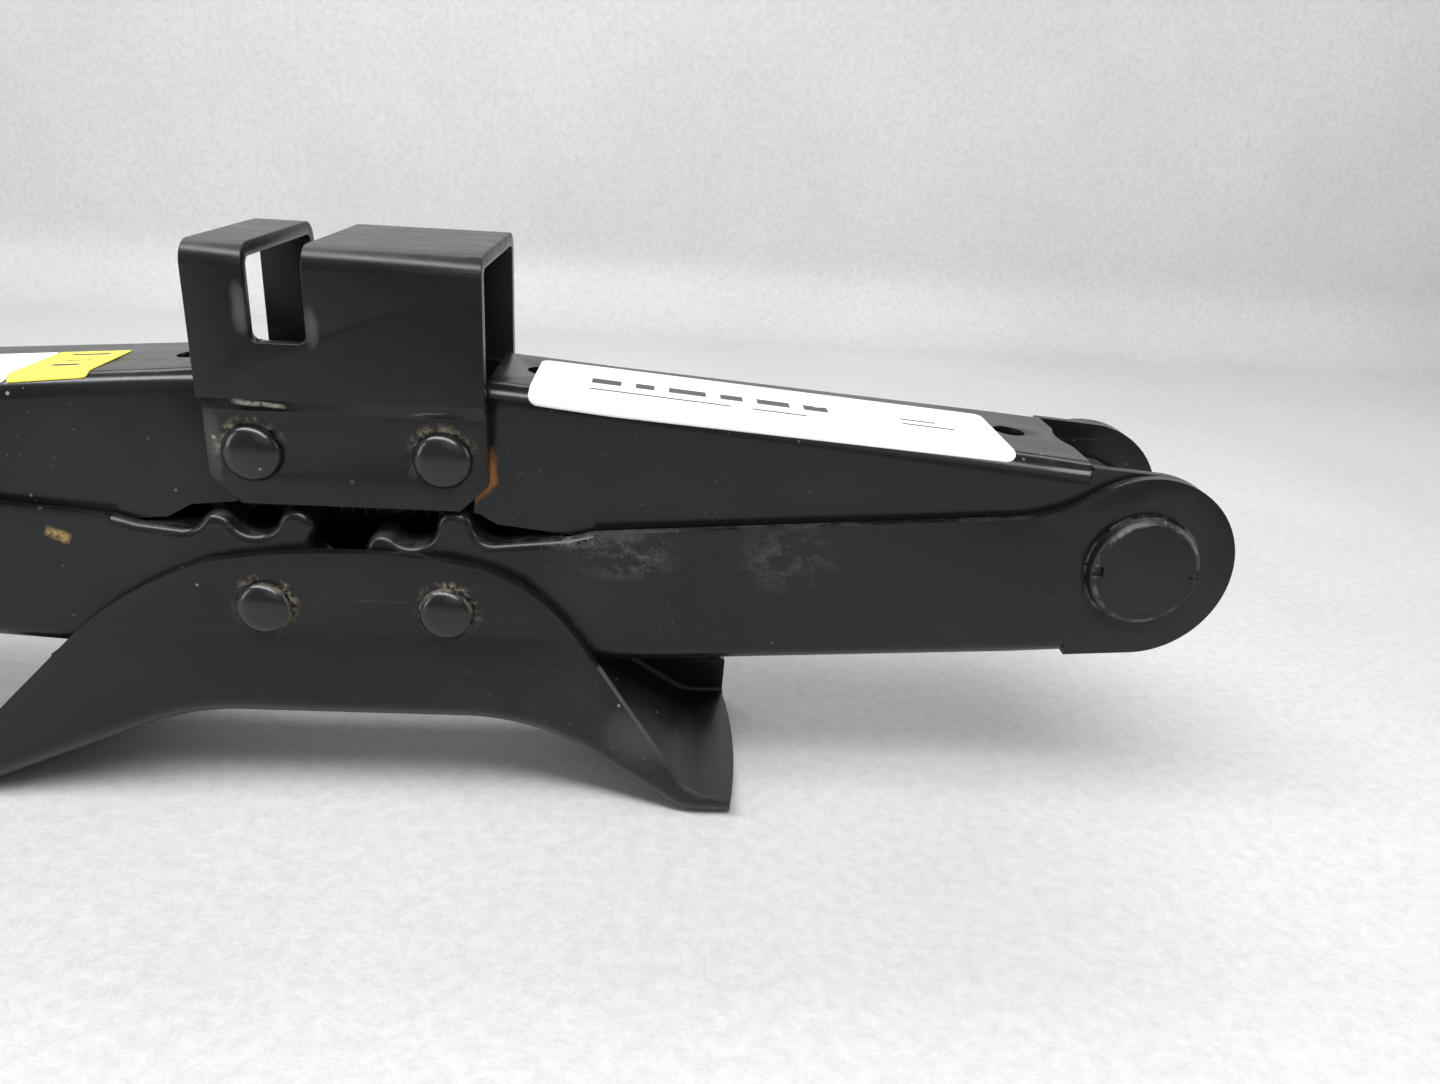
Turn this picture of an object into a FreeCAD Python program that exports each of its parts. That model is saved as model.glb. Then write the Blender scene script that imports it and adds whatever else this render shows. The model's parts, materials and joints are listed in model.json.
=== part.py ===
import FreeCAD, Part
import math
import os

import Sketcher
from FreeCAD import Placement, Rotation, Vector

# Folded scissor jack. X runs along the jack, Y across it and Z is up.
# The origin is on the ground, midway between the two base pivots.
# Each arm is drawn in its own frame: the gear pivot is at the origin, the trunnion
# lies along +X, and the sheet's web is on the -Z side. Left arms flip X and upper
# arms flip Z.

doc = FreeCAD.newDocument("scissor_jack")
sizes = doc.addObject("Spreadsheet::Sheet", "Sizes")

DRIVING_SIZES = {
    "pivot_x": 21.0,
    "base_pivot_z": 52.8,
    "arm_length": 165.3,
    "rest_angle": 6.4,
    "tooth_pitch_angle": 54.0,
    "tooth_centre": 19.9,
    "tooth_radius": 4.3,
    "gear_root": 16.4,
    "gear_roll": 2.2,
    "plate_sheet": 3.2,
    "arm_sheet": 2.6,
    "bend_radius": 5.0,
    "pin_radius": 5.0,
    "pin_fit": 0.08,
    "open_pivot_fit": 0.3,
    "rivet_head": 6.7,
    "rivet_dome": 3.5,
    "base_half": 25.2,
    "foot_half": 31.0,
    "base_top": 67.0,
    "flare_z": 45.8,
    "arch_z": 24.0,
    "lower_hub_half": 21.7,
    "lower_gear_inner": 13.0,
    "lower_ear_half": 25.8,
    "upper_hub_half": 12.0,
    "upper_gear_inner": 6.6,
    "upper_side_half": 18.8,
    "upper_ear_half": 22.9,
    "ear_radius": 22.5,
    "trunnion_radius": 13.2,
    "trunnion_half": 29.0,
    "saddle_half": 24.7,
    "saddle_foot_half": 22.3,
    "saddle_x": 31.0,
    "saddle_rise": 45.8,
    "saddle_drop": 12.3,
    "notch_left": -18.4,
    "notch_right": -6.3,
    "notch_z": 115.0,
    "screw_radius": 6.0,
    "nut_fit": 0.3,
    "collar_radius": 10.0,
    "washer_radius": 11.0,
    "washer_thickness": 1.5,
    "ball_radius": 1.75,
    "ball_circle": 8.6,
    "eye_radius": 15.0,
    "eye_hole": 8.0,
    "eye_half": 4.5,
    "label_thickness": 0.2,
}

for row, (alias, value) in enumerate(DRIVING_SIZES.items(), start=1):
    sizes.set(f"A{row}", alias)
    sizes.set(f"B{row}", str(value))
    sizes.setAlias(f"B{row}", alias)
doc.recompute()


def size(alias):
    """Value of one named cell."""
    return float(sizes.get(alias))


REST = math.radians(size("rest_angle"))
TRUNNION_X = size("pivot_x") + size("arm_length") * math.cos(REST)
TRUNNION_Z = size("base_pivot_z") + size("arm_length") * math.sin(REST)
SADDLE_PIVOT_Z = size("base_pivot_z") + 2 * size("arm_length") * math.sin(REST)


# ---------------------------------------------------------------- drawing helpers

def polar(radius, degrees, centre=(0.0, 0.0)):
    """Point at an angle on a circle."""
    angle = math.radians(degrees)
    return (centre[0] + radius * math.cos(angle), centre[1] + radius * math.sin(angle))


def arc_to(centre, radius, start, end):
    """One arc step for outline(): middle and end point, by angles in degrees."""
    return (polar(radius, (start + end) / 2, centre), polar(radius, end, centre))


def outline(start, steps, flip=(1, 1)):
    """Closed outline. A step is a point, or a (middle, end) pair for an arc."""
    def place(point):
        return Vector(point[0] * flip[0], point[1] * flip[1], 0)

    edges = []
    here = place(start)
    for step in steps + [start]:
        if isinstance(step[0], tuple):
            there = place(step[1])
            edges.append(Part.Arc(here, place(step[0]), there))
        else:
            there = place(step)
            if here.distanceToPoint(there) < 1e-6:
                continue
            edges.append(Part.LineSegment(here, there))
        here = there
    return edges


def circle(centre, radius):
    """Full circle as sketch geometry."""
    return Part.Circle(Vector(centre[0], centre[1], 0), Vector(0, 0, 1), radius)


def new_body(label):
    """Empty body whose label names its node."""
    body = doc.addObject("PartDesign::Body", label)
    body.Label = label
    return body


def add_sketch(body, name, plane, edges, offset=0.0):
    """Sketch on one of the body's origin planes, moved along the plane's normal."""
    sketch = body.newObject("Sketcher::SketchObject", name)
    support = [f for f in body.Origin.OriginFeatures if f.Role == plane][0]
    sketch.AttachmentSupport = [(support, "")]
    sketch.MapMode = "FlatFace"
    sketch.AttachmentOffset = Placement(Vector(0, 0, offset), Rotation())
    sketch.addGeometry(edges, False)
    return sketch


def round_sketch(body, name, plane, centres, radius_rule, offset=0.0):
    """Sketch of equal circles whose radius follows the sheet."""
    sketch = add_sketch(body, name, plane, [circle(c, 1.0) for c in centres], offset)
    for index in range(len(centres)):
        sketch.addConstraint(Sketcher.Constraint("Radius", index, 1.0))
        sketch.setExpression(f"Constraints[{index}]", radius_rule)
    return sketch


def pad(body, name, sketch, length_rule, symmetric=False):
    """Pad along the sketch's normal, or to both sides of it."""
    feature = body.newObject("PartDesign::Pad", name)
    feature.Profile = sketch
    feature.SideType = "Symmetric" if symmetric else "One side"
    feature.setExpression("Length", length_rule)
    return feature


def pocket_through(body, name, sketch):
    """Pocket through everything, to both sides of the sketch."""
    feature = body.newObject("PartDesign::Pocket", name)
    feature.Profile = sketch
    feature.SideType = "Symmetric"
    feature.Type = "ThroughAll"
    return feature


def revolve(body, name, sketch, axis):
    """Full turn of a sketch about one of its own axes."""
    feature = body.newObject("PartDesign::Revolution", name)
    feature.Profile = sketch
    feature.ReferenceAxis = (sketch, [axis])
    feature.Angle = 360.0
    return feature


def round_edges(body, name, base, radius_rule, wanted):
    """Fillet the edges of a feature that pass a test."""
    doc.recompute()
    names = [f"Edge{i}" for i, edge in enumerate(base.Shape.Edges, 1) if wanted(edge)]
    feature = body.newObject("PartDesign::Fillet", name)
    feature.Base = (base, names)
    feature.setExpression("Radius", radius_rule)
    return feature


def hollow(body, name, base, open_face):
    """Turn a block into bent sheet: keep its skin, less the faces that are open."""
    doc.recompute()
    names = [f"Face{i}" for i, face in enumerate(base.Shape.Faces, 1) if open_face(face)]
    feature = body.newObject("PartDesign::Thickness", name)
    feature.Base = (base, names)
    feature.Mode = "Skin"
    feature.Join = "Intersection"
    feature.Reversed = True
    feature.setExpression("Value", "Sizes.plate_sheet")
    return feature


# ---------------------------------------------------------------- base plate

LEGS = {
    1: {"slope": 33.0, "knee_x": 42.0, "foot_x": 93.2, "end_z": 12.5,
        "shoulder": (29.0, 64.3), "crown": (15.0, 66.4), "rear_bend": ((43.5, 59.2), (54.0, 50.4)),
        "front": [((41.5, 57.9), (51.0, 47.6)), (76.0, 12.0), ((79.6, 7.2), (85.0, 4.6))]},
    -1: {"slope": 22.5, "knee_x": 41.0, "foot_x": 105.6, "end_z": 7.0,
         "shoulder": (34.0, 63.5), "crown": (17.5, 66.1), "rear_bend": ((51.0, 56.4), (64.0, 46.5)),
         "front": [((51.4, 55.0), (66.0, 43.8)), (98.0, 10.8), ((100.4, 8.6), (103.6, 7.6))]},
}
KNEE_RADIUS = 60.0
TOE_RADIUS = 14.0


def arch_steps(leg):
    """Underside of the base from the middle to one foot: flat, round, slope, round, flat."""
    slope, knee_x, rise = leg["slope"], leg["knee_x"], size("arch_z")
    toe_x = knee_x + rise / math.tan(math.radians(slope))
    knee = KNEE_RADIUS * math.tan(math.radians(slope / 2))
    toe = TOE_RADIUS * math.tan(math.radians(slope / 2))
    knee_centre = (knee_x - knee, rise - KNEE_RADIUS)
    toe_centre = (toe_x + toe, TOE_RADIUS)
    return [
        (knee_x - knee, rise),
        arc_to(knee_centre, KNEE_RADIUS, 90, 90 - slope),
        polar(TOE_RADIUS, 270 - slope, toe_centre),
        arc_to(toe_centre, TOE_RADIUS, 270 - slope, 270),
        (leg["foot_x"], 0.0),
    ]


def rear_steps(leg):
    """Edge of the rear plate from the foot's end up to the crown."""
    foot_x, end_z = leg["foot_x"], leg["end_z"]
    middle, low = leg["rear_bend"]
    return [(foot_x, end_z), ((foot_x - 0.7, end_z + 1.7), (foot_x - 2.4, end_z + 2.5)), low,
            (middle, leg["shoulder"]), (leg["crown"], (0.0, size("base_top")))]


def mirror_step(step, side):
    """Flip an outline step in X."""
    if isinstance(step[0], tuple):
        return tuple((point[0] * side, point[1]) for point in step)
    return (step[0] * side, step[1])


def reverse_outline(start, steps):
    """The same open path from its other end: new start and steps."""
    corners = [start] + [step[1] if isinstance(step[0], tuple) else step for step in steps]
    backwards = []
    for index in range(len(steps) - 1, -1, -1):
        corner = corners[index]
        is_arc = isinstance(steps[index][0], tuple)
        backwards.append((steps[index][0], corner) if is_arc else corner)
    return corners[-1], backwards


def make_base_plate():
    """Bent sheet base: arched web and two side plates that flare out to the feet.

    The left leg reaches further and is less steep than the right one."""
    body = new_body("base_plate")
    right_steps = arch_steps(LEGS[1]) + rear_steps(LEGS[1])
    left_steps = [mirror_step(step, -1) for step in arch_steps(LEGS[-1]) + rear_steps(LEGS[-1])]
    _, left_back = reverse_outline((0.0, size("arch_z")), left_steps)
    block_sketch = add_sketch(body, "BlockOutline", "XZ_Plane",
                              outline((0.0, size("arch_z")), right_steps + left_back))
    block = pad(body, "Block", block_sketch, "Sizes.foot_half * 2", symmetric=True)

    top = size("base_top") + 5
    half, foot, flare = size("base_half"), size("foot_half"), size("flare_z")
    flare_cut = []
    for side in (1, -1):
        flare_cut += outline((foot, 0.0), [(half, flare), (half, top), (foot + 5, top), (foot + 5, 0.0)],
                             flip=(side, 1))
    flanks = pocket_through(body, "Flanks", add_sketch(body, "FlankCut", "YZ_Plane", flare_cut))

    def under_edge(edge):
        middle = edge.valueAt((edge.FirstParameter + edge.LastParameter) / 2)
        low = middle.z < size("arch_z") + 1 and abs(middle.y) > half
        return low and abs(edge.BoundBox.XLength) > 1 and middle.z < under_height(middle.x) + 1

    bend = round_edges(body, "Bend", flanks, "Sizes.bend_radius", under_edge)

    def open_face(face):
        box = face.BoundBox
        flat_end = box.XLength < 0.01
        upper = face.CenterOfMass.z > under_height(face.CenterOfMass.x) + 5
        crosses = box.YLength > 2 * half - 1
        return flat_end or (upper and crosses)

    shell = hollow(body, "Sheet", bend, open_face)

    trim = []
    for side, leg in LEGS.items():
        beyond = leg["foot_x"] + 2
        steps = leg["front"] + [(beyond, leg["front"][-1][1][1]), (beyond, top), (leg["shoulder"][0], top)]
        trim += outline(leg["shoulder"], steps, flip=(side, 1))
    cut = body.newObject("PartDesign::Pocket", "FrontTrim")
    cut.Profile = add_sketch(body, "FrontOutline", "XZ_Plane", trim)
    cut.SideType = "One side"
    cut.Reversed = True
    cut.setExpression("Length", "Sizes.foot_half * 2")
    pocket_through(body, "FootEnds", add_sketch(body, "FootEndOutline", "XY_Plane", foot_end_cuts()))

    holes = round_sketch(body, "PivotHoles", "XZ_Plane",
                         [(side * size("pivot_x"), size("base_pivot_z")) for side in (1, -1)],
                         "Sizes.pin_radius + Sizes.pin_fit")
    pocket_through(body, "Pivots", holes)
    return body


def foot_end_cuts():
    """Plan outlines that bow the ends of the feet, further out in the middle."""
    reach, bow = size("foot_half") + 3, 3.0
    cuts = []
    for side, leg in LEGS.items():
        end = leg["foot_x"]
        cuts += outline((end - bow, -reach), [((end, 0.0), (end - bow, reach)), (end + 5, reach),
                                              (end + 5, -reach)], flip=(side, 1))
    return cuts


def under_height(x):
    """Height of the base's underside at a distance from the middle, bends ignored."""
    leg = LEGS[1 if x > 0 else -1]
    slope = math.tan(math.radians(leg["slope"]))
    return max(0.0, min(size("arch_z"), size("arch_z") - (abs(x) - leg["knee_x"]) * slope))


# ---------------------------------------------------------------- saddle

def make_saddle():
    """Inverted U that carries the sill, stepped in at its lower edge over the arms."""
    body = new_body("saddle")
    wide, top = size("saddle_x"), SADDLE_PIVOT_Z + size("saddle_rise")
    low = SADDLE_PIVOT_Z - size("saddle_drop")
    corner = 6.5
    block_sketch = add_sketch(body, "BlockOutline", "XZ_Plane", outline(
        (-wide, top), [(-wide, low + corner), (-wide + corner, low), (wide - corner, low),
                       (wide, low + corner), (wide, top)]))
    block = pad(body, "Block", block_sketch, "Sizes.saddle_half * 2", symmetric=True)

    half, foot = size("saddle_half"), size("saddle_foot_half")
    step_top = SADDLE_PIVOT_Z + 13.0
    step_low = SADDLE_PIVOT_Z + 9.6
    step_cut = []
    for side in (1, -1):
        step_cut += outline((half, step_top), [(foot, step_low), (foot, low - 5), (half + 5, low - 5),
                                               (half + 5, step_top)], flip=(side, 1))
    stepped = pocket_through(body, "Step", add_sketch(body, "StepCut", "YZ_Plane", step_cut))

    def top_edge(edge):
        box = edge.BoundBox
        return box.ZMin > top - 0.01 and box.XLength > wide

    bend = round_edges(body, "Bend", stepped, "Sizes.bend_radius", top_edge)

    def open_face(face):
        end = face.BoundBox.XLength < 0.01
        bottom = face.CenterOfMass.z < low + corner and face.BoundBox.YLength > 2 * foot - 1
        return end or bottom

    hollow(body, "Sheet", bend, open_face)

    left, right, floor = size("notch_left"), size("notch_right"), size("notch_z")
    fillet = 2.0
    notch = outline((left, top + 5), [
        (left, floor + fillet), arc_to((left + fillet, floor + fillet), fillet, 180, 270),
        (right - fillet, floor), arc_to((right - fillet, floor + fillet), fillet, 270, 360),
        (right, top + 5)])
    pocket_through(body, "Notch", add_sketch(body, "NotchOutline", "XZ_Plane", notch))
    holes = round_sketch(body, "PivotHoles", "XZ_Plane",
                         [(side * size("pivot_x"), SADDLE_PIVOT_Z) for side in (1, -1)],
                         "Sizes.pin_radius + Sizes.pin_fit")
    pocket_through(body, "Pivots", holes)
    return body


# ---------------------------------------------------------------- arms

def gear_circles():
    """Distance and radius of the valley circle that joins two round tooth tips."""
    reach, tip, root = size("tooth_centre"), size("tooth_radius"), size("gear_root")
    half_pitch = math.radians(size("tooth_pitch_angle") / 2)
    gap = tip - root
    valley_reach = (reach ** 2 - gap ** 2) / (2 * gap + 2 * reach * math.cos(half_pitch))
    return valley_reach, valley_reach - root


def heading(start, end):
    """Direction from one point to another, in degrees."""
    return math.degrees(math.atan2(end[1] - start[1], end[0] - start[0]))


def toothed_edge(first_tooth, enter):
    """Arcs over three round teeth, from a direction on the first tip to the last valley's bottom."""
    pitch = size("tooth_pitch_angle")
    tip_reach, tip_radius = size("tooth_centre"), size("tooth_radius")
    valley_reach, valley_radius = gear_circles()
    steps = []
    for index in range(3):
        tooth = first_tooth + index * pitch
        tip = polar(tip_reach, tooth)
        valley = polar(valley_reach, tooth + pitch / 2)
        leave = enter + (heading(tip, valley) - enter) % 360
        steps.append(arc_to(tip, tip_radius, enter, leave))
        bottom = tooth + pitch / 2 + 180
        rise = heading(valley, polar(tip_reach, tooth + pitch)) if index < 2 else bottom
        rise = leave + 180 - (leave + 180 - rise) % 360
        steps.append(arc_to(valley, valley_radius, leave + 180, rise))
        enter = rise - 180
    return steps, first_tooth + 2.5 * pitch


def flange_fillet(tooth, flange_z, radius):
    """Concave arc between the flange's straight edge and the first tooth: centre and end direction."""
    tip = polar(size("tooth_centre"), tooth)
    reach = size("tooth_radius") + radius
    centre_z = flange_z + radius
    centre = (tip[0] + math.sqrt(reach ** 2 - (centre_z - tip[1]) ** 2), centre_z)
    return centre, heading(centre, tip) % 360


def channel_section(half, web, top, flip):
    """U section across an arm: web below, two sides, round bends."""
    sheet, bend = size("arm_sheet"), size("bend_radius")
    left, right = (bend - half, web + bend), (half - bend, web + bend)
    return outline((-half, top), [
        (-half, web + bend), arc_to(left, bend, 180, 270),
        (half - bend, web), arc_to(right, bend, 270, 360),
        (half, top), (half - sheet, top),
        (half - sheet, web + bend), arc_to(right, bend - sheet, 360, 270),
        (bend - half, web + sheet), arc_to(left, bend - sheet, 270, 180),
        (sheet - half, top)], flip=(1, flip))


def side_pads(body, name, edges, inner_rule, width_rule):
    """The same plate on the front and the rear side of a body, mirrored in Y."""
    front = add_sketch(body, name + "Outline", "XZ_Plane", edges)
    front.setExpression("AttachmentOffset.Base.z", inner_rule)
    pad(body, name, front, width_rule)
    rear = add_sketch(body, name + "RearOutline", "XZ_Plane", edges)
    rear.setExpression("AttachmentOffset.Base.z", f"-({inner_rule}) - ({width_rule})")
    pad(body, name + "Rear", rear, width_rule)


def side_pockets(body, name, edges, inner_rule, depth_rule):
    """The same recess in the front and the rear plate, cut outwards from their inner faces."""
    for word, sign, reverse in (("", "", True), ("Rear", "-", False)):
        sketch = add_sketch(body, name + word + "Outline", "XZ_Plane", edges)
        sketch.setExpression("AttachmentOffset.Base.z", f"{sign}({inner_rule})")
        pocket = body.newObject("PartDesign::Pocket", name + word)
        pocket.Profile = sketch
        pocket.Reversed = reverse
        pocket.setExpression("Length", depth_rule)


def web_height(x):
    """Outer face of an arm's web, in the arm's frame."""
    return -17.9 - 0.0297 * x


def make_arm(label, side, rise, stations, level):
    """One arm: toothed hub plates at the pivot, tapered channel, round ears at the trunnion."""
    body = new_body(label)
    flip = (side, rise)
    add_toothed_hub(body, side, flip, stations, level)
    add_channel(body, side, rise, stations, level)
    add_ears(body, flip, level)
    web_cut = round_sketch(body, "WebEndCut", "XY_Plane", [(side * size("arm_length"), 0.0)],
                           f"Sizes.{level}_ear_half - Sizes.bend_radius + 1.0")
    pocket_through(body, "WebEnd", web_cut)
    return body


def add_toothed_hub(body, side, flip, stations, level):
    """Two thick plates with three teeth each, recessed from inside to a sheet and a toothed rim."""
    root, sheet = size("gear_root"), size("arm_sheet")
    rim = root - sheet
    first_tooth = (85.0 if side > 0 else 58.0) - size("rest_angle")
    if level == "lower":
        flange = (30.0, 15.0)
        radius = 5.0
        centre, reach = flange_fillet(first_tooth, flange[1], radius)
        start = (centre[0], flange[1])
        teeth, last = toothed_edge(first_tooth, reach - 180)
        foot = [(6.2, web_height(6.2)), (7.2, -12.0), (stations[0][0], -12.0),
                (stations[0][0], stations[0][2]), flange]
        steps = [arc_to(centre, radius, 270, reach)] + teeth + [arc_to((0, 0), root, last, 270)] + foot
    else:
        start = polar(size("tooth_radius"), -60, polar(size("tooth_centre"), first_tooth))
        teeth, last = toothed_edge(first_tooth, -60)
        wall_end = stations[0][0] + sheet - 0.1
        steps = teeth + [arc_to((0, 0), root, last, 270), (6.4, -16.9), (wall_end, -16.9),
                         (wall_end, 11.0)]
    lip = 15.0 - sheet
    rim_from = math.degrees(math.asin(lip / rim))
    recess = [arc_to((0, 0), rim, rim_from, last), polar(34.0, last), (50.0, -40.0)]
    recess += [(50.0, 20.0), (26.0 + 20.0 - lip, 20.0), (26.0, lip)] if level == "lower" else [(50.0, lip)]
    inner, half = f"Sizes.{level}_gear_inner", f"Sizes.{level}_hub_half"
    side_pads(body, "Hub", outline(start, steps, flip), inner, f"{half} - {inner}")
    if level == "lower":
        roll_toothed_edge(body)
    side_pockets(body, "Recess", outline(polar(rim, rim_from), recess, flip), inner,
                 f"{half} - Sizes.arm_sheet - {inner}")


def roll_toothed_edge(body):
    """Round the outer edges of the teeth and the flange, as where sheet is rolled inwards."""
    outer = size("lower_hub_half")

    def rolled(edge):
        box = edge.BoundBox
        middle = edge.valueAt((edge.FirstParameter + edge.LastParameter) / 2)
        on_face = abs(abs(middle.y) - outer) < 0.01 and box.YLength < 0.01
        flange = abs(middle.z - 15.0) < 0.6
        heel = middle.z < -16.5
        return on_face and (flange or heel or edge.Curve.TypeId == "Part::GeomCircle")

    round_edges(body, "ToothRoll", body.Tip, "Sizes.gear_roll", rolled)


def add_channel(body, side, rise, stations, level):
    """U-shaped channel through a row of sections; its start at the hub is straight."""
    first, half, top = stations[0]
    if level == "lower":
        straight_from, straight_top, straight_to = 6.0, 9.0, first
    else:
        straight_from, straight_top, straight_to = first, top, stations[1][0]
        stations = stations[1:]
        add_side_walls(body, side, rise, first, half, top)
    edges = channel_section(half, web_height(straight_to), straight_top, rise)
    hub_section = add_sketch(body, "HubSection", "YZ_Plane", edges, offset=side * straight_from)
    hub_channel = pad(body, "HubChannel", hub_section, f"{straight_to} - {straight_from}")
    hub_channel.Reversed = side < 0
    sections = []
    for index, (x, half, top) in enumerate(stations):
        edges = channel_section(half, web_height(x), top, rise)
        sections.append(add_sketch(body, f"Section{index}", "YZ_Plane", edges, offset=side * x))
    channel = body.newObject("PartDesign::AdditiveLoft", "Channel")
    channel.Profile = sections[0]
    channel.Sections = sections[1:]
    channel.Ruled = True


def add_side_walls(body, side, rise, x, half, top):
    """Cross walls that join the narrow gear plates to the wide sides."""
    inner = size("upper_hub_half") - size("arm_sheet")
    bend = size("bend_radius")
    web = web_height(x) + 0.1
    edges = []
    for hand in (1, -1):
        edges += outline((inner, web), [
            (half - bend, web), arc_to((half - bend, web + bend), bend - 0.1, 270, 360),
            (half - 0.1, top - 0.1), (inner, top - 0.1)], flip=(hand, rise))
    walls = pad(body, "Walls", add_sketch(body, "WallOutline", "YZ_Plane", edges, offset=side * x),
                "Sizes.arm_sheet")
    walls.Reversed = side < 0


def add_ears(body, flip, level):
    """Round ear plates, blended into the channel's top edge by a concave arc."""
    length, ear = size("arm_length"), size("ear_radius")
    neck_x, neck_z = 135.0, 14.6
    neck_radius = ((length - neck_x) ** 2 / (ear - neck_z) - ear - neck_z) / 2
    neck_centre = (neck_x, neck_z + neck_radius)
    lean = math.degrees(math.atan2(neck_centre[1], neck_centre[0] - length))
    step_x = 148.0
    steps = [arc_to(neck_centre, neck_radius, 270, lean + 180),
             arc_to((length, 0), ear, lean, -90),
             (step_x, 0.7 - ear), (step_x, -16.0), (neck_x, -16.0)]
    side_pads(body, "Ear", outline((neck_x, neck_z), steps, flip),
              f"Sizes.{level}_ear_half - Sizes.arm_sheet", "Sizes.arm_sheet")


def finish_arm(body, side, rise, pivot_z, web_holes, hub_hole_rule):
    """Pin holes, trunnion holes and the web's small holes, then the arm's place."""
    hub = round_sketch(body, "HubHole", "XZ_Plane", [(0.0, 0.0)], hub_hole_rule)
    pocket_through(body, "HubBore", hub)
    trunnion = round_sketch(body, "TrunnionHole", "XZ_Plane", [(side * size("arm_length"), 0.0)],
                            "Sizes.trunnion_radius + Sizes.pin_fit")
    pocket_through(body, "TrunnionBore", trunnion)
    if web_holes:
        drilled = [circle((side * x, 0.0), radius) for x, radius in web_holes]
        pocket_through(body, "WebHoles", add_sketch(body, "WebHoleCut", "XY_Plane", drilled))
    turn = Rotation(Vector(0, 1, 0), -side * rise * size("rest_angle"))
    body.Placement = Placement(Vector(side * size("pivot_x"), 0, pivot_z), turn)


def lower_stations():
    """Distance, half width and top edge of the lower channel's sections."""
    hub, ear = size("lower_hub_half"), size("lower_ear_half")
    return [(36.0, hub, 16.0), (135.0, ear, 14.6), (148.0, ear, 14.6)]


def upper_stations(side):
    """The upper channel starts at the cross walls; its edge is cut back over the lower gear's tooth."""
    wide, ear = size("upper_side_half"), size("upper_ear_half")
    near = [(7.4, wide, 13.0), (8.6, wide, 13.0), (13.0, wide, 15.0)]
    if side < 0:
        near = [(7.4, wide, 12.4), (18.0, wide, 12.4), (24.0, wide, 15.0)]
    return near + [(30.0, wide, 15.0), (36.0, wide, 16.0), (135.0, ear, 14.6), (148.0, ear, 14.6)]


def make_arms():
    """Four arms: lower ones outside, upper ones nested between them."""
    close_fit = "Sizes.pin_radius + Sizes.pin_fit"
    open_fit = "Sizes.pin_radius + Sizes.open_pivot_fit"
    web_holes = [(18.0, 3.6), (134.0, 4.0)]
    arms = {}
    for word, side in (("left", -1), ("right", 1)):
        lower = make_arm(f"lower_arm_{word}", side, 1, lower_stations(), "lower")
        finish_arm(lower, side, 1, size("base_pivot_z"), [], close_fit)
        upper = make_arm(f"upper_arm_{word}", side, -1, upper_stations(side), "upper")
        finish_arm(upper, side, -1, SADDLE_PIVOT_Z, web_holes, open_fit if side < 0 else close_fit)
        arms[f"lower_arm_{word}"] = lower
        arms[f"upper_arm_{word}"] = upper
    return arms


# ---------------------------------------------------------------- pins and trunnions

def turned_profile(body, name, points):
    """Closed polygon in the XY plane whose corners follow rules read from the sheet."""
    sketch = add_sketch(body, name, "XY_Plane", [])
    corners = []
    for x_rule, y_rule in points:
        corners.append(Vector(float(sketch.evalExpression(x_rule)), float(sketch.evalExpression(y_rule)), 0))
    count = len(corners)
    for index in range(count):
        sketch.addGeometry(Part.LineSegment(corners[index], corners[(index + 1) % count]), False)
    for index in range(count):
        sketch.addConstraint(Sketcher.Constraint("Coincident", index, 2, (index + 1) % count, 1))
    for index, rules in enumerate(points):
        for kind, rule, value in zip(("DistanceX", "DistanceY"), rules, (corners[index].x, corners[index].y)):
            number = sketch.addConstraint(Sketcher.Constraint(kind, index, 1, value))
            sketch.setExpression(f"Constraints[{number}]", rule)
    return sketch


def make_pin(label, x, z, half):
    """Through pin along Y with a domed head at each end."""
    body = new_body(label)
    head, dome, shank = "Sizes.rivet_head", "Sizes.rivet_dome", "Sizes.pin_radius"
    inner = f"({half} + 0.02)"
    levels = [(0.0, 1.0), (0.45, 0.88), (0.8, 0.55), (1.0, 0.12)]
    top = [(f"{head} * {across}", f"{inner} + {dome} * {up}") for across, up in levels]
    top += [(head, inner), (shank, inner)]
    bottom = [(radius, f"-({height})") for radius, height in reversed(top)]
    sketch = turned_profile(body, "PinProfile", top + bottom)
    revolve(body, "Pin", sketch, "V_Axis")
    body.Placement = Placement(Vector(x, 0, z), Rotation())
    return body


def make_pins():
    """Two base pins and two saddle pins."""
    pins = {}
    for word, side in (("left", -1), ("right", 1)):
        x = side * size("pivot_x")
        pins[f"base_pin_{word}"] = make_pin(f"base_pin_{word}", x, size("base_pivot_z"), "Sizes.base_half")
        pins[f"saddle_pin_{word}"] = make_pin(f"saddle_pin_{word}", x, SADDLE_PIVOT_Z,
                                              "Sizes.saddle_foot_half")
    return pins


def make_saddle_bushes():
    """Four spacers on the saddle pins, between the upper arms and the saddle's sides."""
    body = new_body("saddle_bushes")
    rings = []
    for side in (-1, 1):
        centre = (side * size("pivot_x"), 0.0)
        rings += [circle(centre, 6.8), circle(centre, size("pin_radius") + size("pin_fit"))]
    side_pads(body, "Bush", rings, "Sizes.upper_hub_half + 0.2",
              "Sizes.upper_side_half - Sizes.upper_hub_half - 0.1")
    body.Placement = Placement(Vector(0, 0, SADDLE_PIVOT_Z), Rotation())
    return body


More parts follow.
